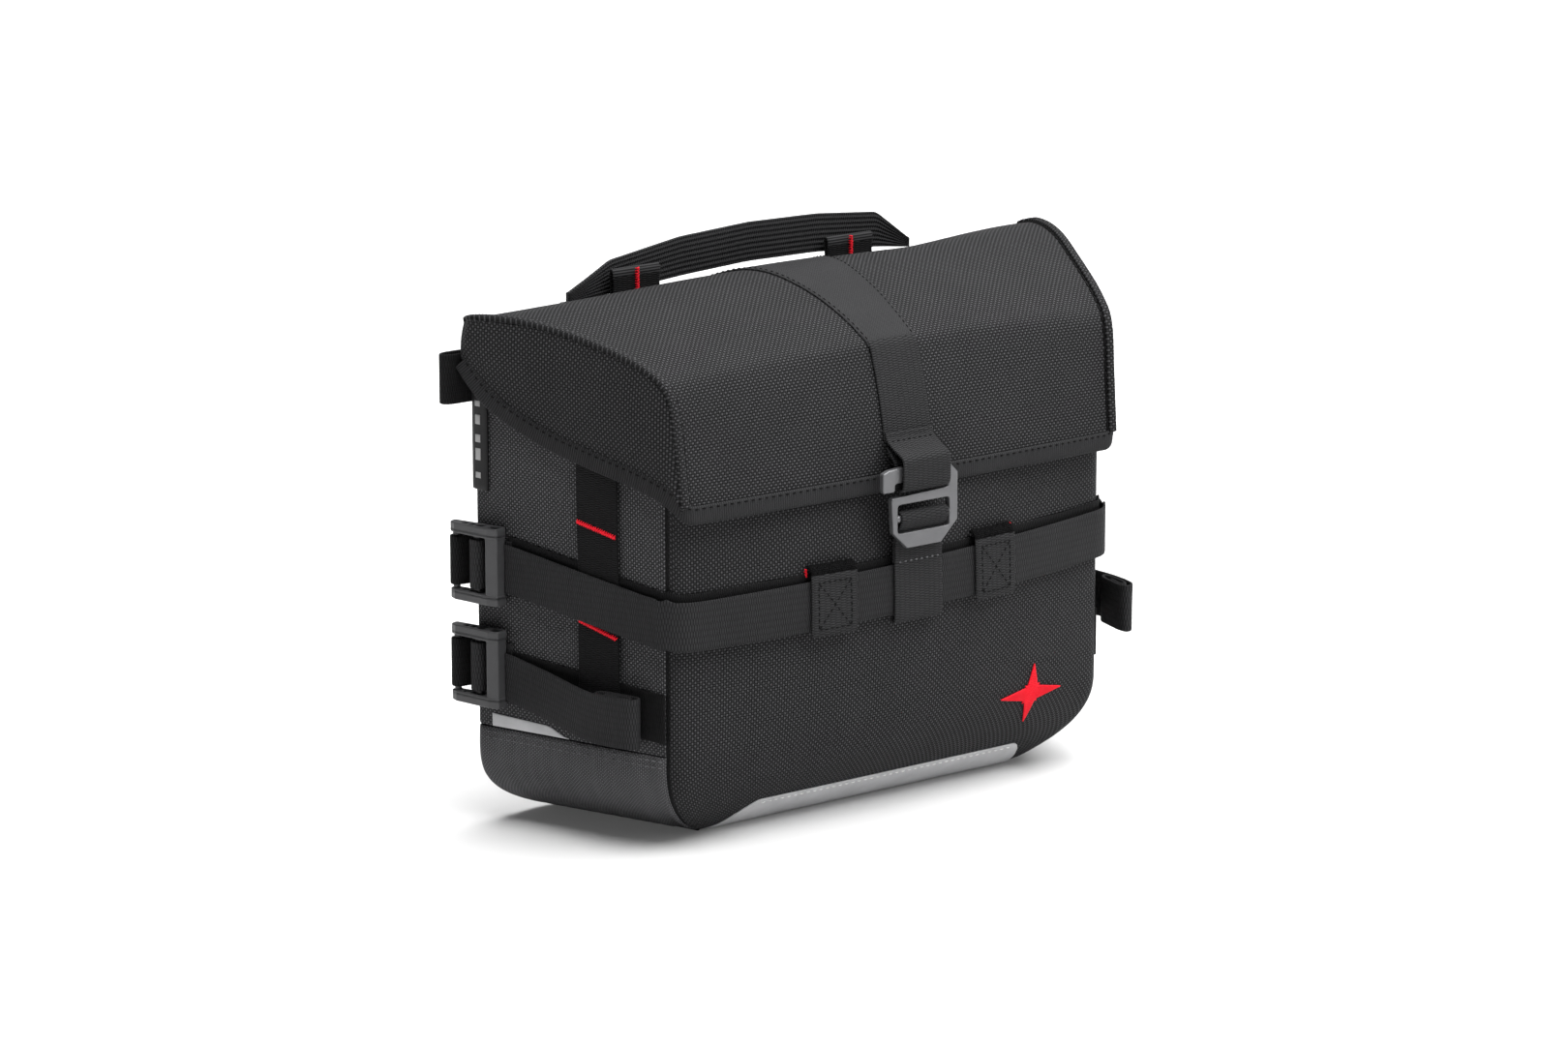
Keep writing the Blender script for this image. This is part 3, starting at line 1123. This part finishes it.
def buckle(height):
    """Two hollow cheeks joined by a heavy front bar, a middle bar and a round rear bar."""
    x0, x1 = FRONT_X - 29.6, FRONT_X + 2.4
    cheek = [(x0, 5.4), (x1 - 1.5, 4.9), (x1, 6.4), (x1 - 1.0, 12.4), (x1 - 6.5, 13.4), (x0 + 12, 12.2),
             (x0 + 4, 11.6), (x0, 9.6)]
    pockets = [
        [(x0 + 7.4, 6.9), (x0 + 10.4, 6.9), (x0 + 10.4, 10.2), (x0 + 7.4, 10.0)],
        [(x0 + 12.0, 6.9), (x0 + 15.0, 6.9), (x0 + 15.0, 10.6), (x0 + 12.0, 10.4)],
        [(x0 + 16.6, 6.8), (x0 + 20.6, 6.6), (x0 + 20.6, 11.2), (x0 + 16.6, 10.8)],
        [(x1 - 8.0, 6.6), (x1 - 1.9, 6.8), (x1 - 2.6, 11.2), (x1 - 6.6, 11.8)],
    ]
    parts = []
    at_level = lambda z: lambda p, q, off: side_plane(p, z + off, q)
    for sign in (1, -1):
        middle = height + sign * 16.9
        holed = [rounded(cheek, 1.1)] + [rounded(p, 0.5) for p in pockets]
        parts.append(plate(holed, 5.4, 0.7, at_level(middle)))
        parts.append(plate([rounded(cheek, 1.1)], 1.4, 0.2, at_level(middle - sign * 1.2)))
    m = MIDDLE_BAR_X
    turns = np.linspace(0, 2 * math.pi, 13)
    round_bar = [(BAR_X + 1.8 * math.cos(t), BAR_OFF + 1.8 * math.sin(t)) for t in turns]
    bars = [
        ([(x1 - 8.6, 6.0), (x1 - 1.2, 5.2), (x1 - 0.4, 6.6), (x1 - 1.2, 12.4), (x1 - 7.6, 13.0),
          (x1 - 9.6, 10.5)], 1.2),
        ([(m - 2.0, 6.6), (m + 2.0, 6.2), (m + 2.0, 9.8), (m - 2.0, 9.4)], 1.0),
        (round_bar[:-1], 0.3),
    ]
    for outline, radius in bars:
        parts.append(plate([rounded(outline, radius)], 33.0, 0.4, at_level(height)))
    return parts


def threaded(height):
    """Webbing from the strap, up round the middle bar and back."""
    m = MIDDLE_BAR_X
    line = [(-36.0 / SIDE_COS + 2, 4.4), (FRONT_X - 3, 4.2), (m + 6.2, 4.4), (m + 3.6, 6.2), (m + 3.4, 9.4),
            (m + 1.8, 11.4), (m - 1.8, 11.2), (m - 3.5, 9.0), (m - 3.4, 6.0), (m - 1.0, 4.2)]
    return strap(line, lambda p, q, b: side_plane(p, height + b, q), BAND_WIDTH, step=0.7)[0]


bar_xy = side_plane(BAR_X, 0.0, BAR_OFF)[:2]


def rear_loop(height):
    """The webbing loop that holds a buckle's rear bar, and the stitching of its end."""
    cx, cy = bar_xy
    line = [(cx - 34, 58.6), (cx - 10, 58.7), (cx - 3.4, cy - 3.2)]
    line += [(cx + 2.6 * math.cos(t), cy + 2.6 * math.sin(t)) for t in np.radians(np.linspace(-80, 110, 9))]
    line += [(cx - 5, cy + 1.2), (cx - 10, 60.6), (cx - 18, 60.2), (cx - 34, 60.1)]
    part, surface, length = strap(line, lambda p, q, b: stacked(p, q, height + b), BAND_WIDTH, step=0.8)
    return part, box_and_cross(surface, length - 24, length - 4)


loops, loop_rows = [], []
for level, height in (("upper", 134.0), ("lower", 82.0)):
    made, sewn_rows = rear_loop(height)
    loops.append(made)
    loop_rows += sewn_rows
    for name, sided in SIDES:
        body_name = f"{name}_{level}_buckle"
        hard_piece(body_name, [sided(p) for p in buckle(height)], plastic, body_name)
        stand_in(f"{body_name}_strap", [sided(threaded(height))], webbing, body_name)
stand_in("buckle_anchors", both(loops), dark_webbing)
piece("buckle_anchor_stitching", both(loop_rows), thread)

# ---- loops and handle at the back ----
tie = [(150, 59.0), (166, 59.1), (178, 59.2), (185, 59.8), (187.3, 62.7), (185, 65.8), (178, 66.6),
       (170, 65.6), (164, 62.2), (158, 60.7), (150, 60.6)]
tie_part, *_ = strap(tie, lambda p, q, b: stacked(p, q, 225.5 + b), BAND_WIDTH, step=0.8)
pair("tie_loop", tie_part, dark_webbing)

LASH_X = 68.5
at_lash = lambda p, q, b: at_yz(p, q, b + LASH_X)
lash = [(58.6, 238), (59.6, 246), (61.8, 252), (62.2, 258), (62.2, 263.6), (62.9, 265.8), (63.9, 265.8),
        (64.6, 263.6), (64.6, 258), (64.2, 251), (61.6, 244), (60.2, 238)]
lash_part, *_ = strap(lash, at_lash, 29.0, step=0.8)
stand_in("lash_loops", both([lash_part]), dark_webbing)
rim_line = [(62.0, 262.0), (61.9, 264.6), (62.7, 266.9), (64.1, 266.9), (64.9, 264.6), (64.9, 262.4)]
rim, *_ = strap(rim_line, at_lash, 29.6, 0.8, step=0.6)
piece("lash_loop_rims", both([rim]), tape)
front_of_loop = lambda a, b, off: stacked(LASH_X + b, 61.4 - off, a)
upright = tack(front_of_loop, (252.5, 0), (267.0, 0), 2.4, 0.3)
stand_in("bar_tacks", both(side_tacks + [upright]) + small_tacks, red_thread)

LOW_X, LOW_EDGE = [-106, -80, -36, 6, 48, 90, 114], [252.5, 253.8, 257.6, 259.8, 259.4, 257.5, 254.5]
HIGH_X, HIGH_EDGE = [-106, -80, -36, 8, 52, 91, 114], [257.0, 271.0, 277.8, 280.2, 279.4, 275.8, 259.0]
handle_low = lambda x: eased(x, LOW_X, LOW_EDGE, 5)
handle_high = lambda x: eased(x, HIGH_X, HIGH_EDGE, 2)


def handle_surface(a, b, off):
    """Across the back of the lid: a is the true x, b the share of the way up."""
    a, b, off = matched(a, b, off)
    y = 68.9 + smooth((0, 0.7), (np.abs(a) - 88) / 22)
    z = handle_low(a) + b * (handle_high(a) - handle_low(a))
    return stacked(a, y - off, z)


handle_ribs = lambda a, b: 0.28 * np.cos(b * 2 * math.pi * 8)  # eight along its height
grip = shell(handle_surface, (-106.0, 113.5), (0.0, 1.0), -1.1, 1.1, 1.6, 0.016, rim=0.03, relief=handle_ribs)
grip[2][:, 1] *= 24  # shares of its height to millimetres
stand_in("handle", [grip], handle_webbing, "handle")
hold = [(59.2, 214), (59.2, 230), (59.6, 242), (62.5, 246.5), (66.0, 249.6), (67.3, 253.6)]
hold_part, hold_at, _ = strap(hold, lambda p, q, b: at_yz(p, q, b + 99.5), BAND_WIDTH, 2.0, step=1.0)
stand_in("handle_anchors", both([hold_part]), dark_webbing)
hold_rows = box_and_cross(lambda a, b, off: hold_at(a, b, -off - 0.3), 3, 24)
piece("handle_anchor_stitching", both(hold_rows), thread)

# ---- floor, light and camera ----
FLOOR = 30.0  # half its width, in metres
ground = bpy.data.meshes.new("floor")
corners = [(FLOOR * x, FLOOR * y, 0) for x, y in ((-1, -1), (1, -1), (1, 1), (-1, 1))]
ground.from_pydata(corners, [], [(0, 1, 2, 3)])
floor = placed("floor", ground)
g = Graph("floor", roughness=0.9, emission_strength=0.06, emission_color=(1, 1, 1, 1))
g.colour(g.noise(3.0), (0.6, 0.6, 0.6), (0.64, 0.64, 0.64), 0.02, 2.0)
ground.materials.append(g.material)

world = bpy.data.worlds.new("studio")
world.use_nodes = True
sky = world.node_tree
sky.nodes["Background"].inputs["Color"].default_value = (1, 1, 1, 1)
direction = sky.nodes.new("ShaderNodeTexCoord")
axes = sky.nodes.new("ShaderNodeSeparateXYZ")
sky.links.new(direction.outputs["Generated"], axes.inputs[0])
glow = sky.nodes.new("ShaderNodeMath")
# Darker on the bag's left, and white at the horizon.
for slot, axis, ramp in ((0, "X", (-1.0, 1.0, 0.02, 0.22)), (1, "Z", (0.0, 0.12, 0.6, 0.0))):
    share = sky.nodes.new("ShaderNodeMapRange")
    for key, value in zip(("From Min", "From Max", "To Min", "To Max"), ramp):
        share.inputs[key].default_value = value
    sky.links.new(axes.outputs[axis], share.inputs["Value"])
    sky.links.new(share.outputs[0], glow.inputs[slot])
sky.links.new(glow.outputs[0], sky.nodes["Background"].inputs["Strength"])
bpy.context.scene.world = world


def aimed(towards):
    """Rotation of a light or camera that looks along the vector."""
    return towards.to_track_quat("-Z", "Y").to_euler()


sun = placed("overhead", bpy.data.lights.new("overhead", "SUN"))
sun.data.energy = 8.0
sun.data.angle = math.radians(75)
sun.rotation_euler = (math.radians(8), math.radians(13), 0)

front_light = placed("front_light", bpy.data.lights.new("front_light", "AREA"))
front_light.data.shape = "DISK"
front_light.data.size = 1.6
front_light.data.energy = 12
front_light.location = (1.2, -2.2, 1.3)
front_light.rotation_euler = aimed(Vector((0, 0, 0.12)) - front_light.location)

camera = placed("camera", bpy.data.cameras.new("camera"))
AZIMUTH, ELEVATION, DISTANCE = math.radians(-38.3), math.radians(13.6), 2.910
target = Vector((-0.0236, 0.0, 0.1408))
level = math.cos(ELEVATION)
to_camera = Vector((math.sin(AZIMUTH) * level, -math.cos(AZIMUTH) * level, math.sin(ELEVATION)))
camera.location = target + to_camera * DISTANCE
camera.rotation_euler = aimed(-to_camera)
camera.data.lens = 133.43
camera.data.sensor_width = 36
camera.data.clip_start, camera.data.clip_end = 0.1, 30
bpy.context.scene.camera = camera
bpy.context.scene.view_settings.view_transform = "Standard"
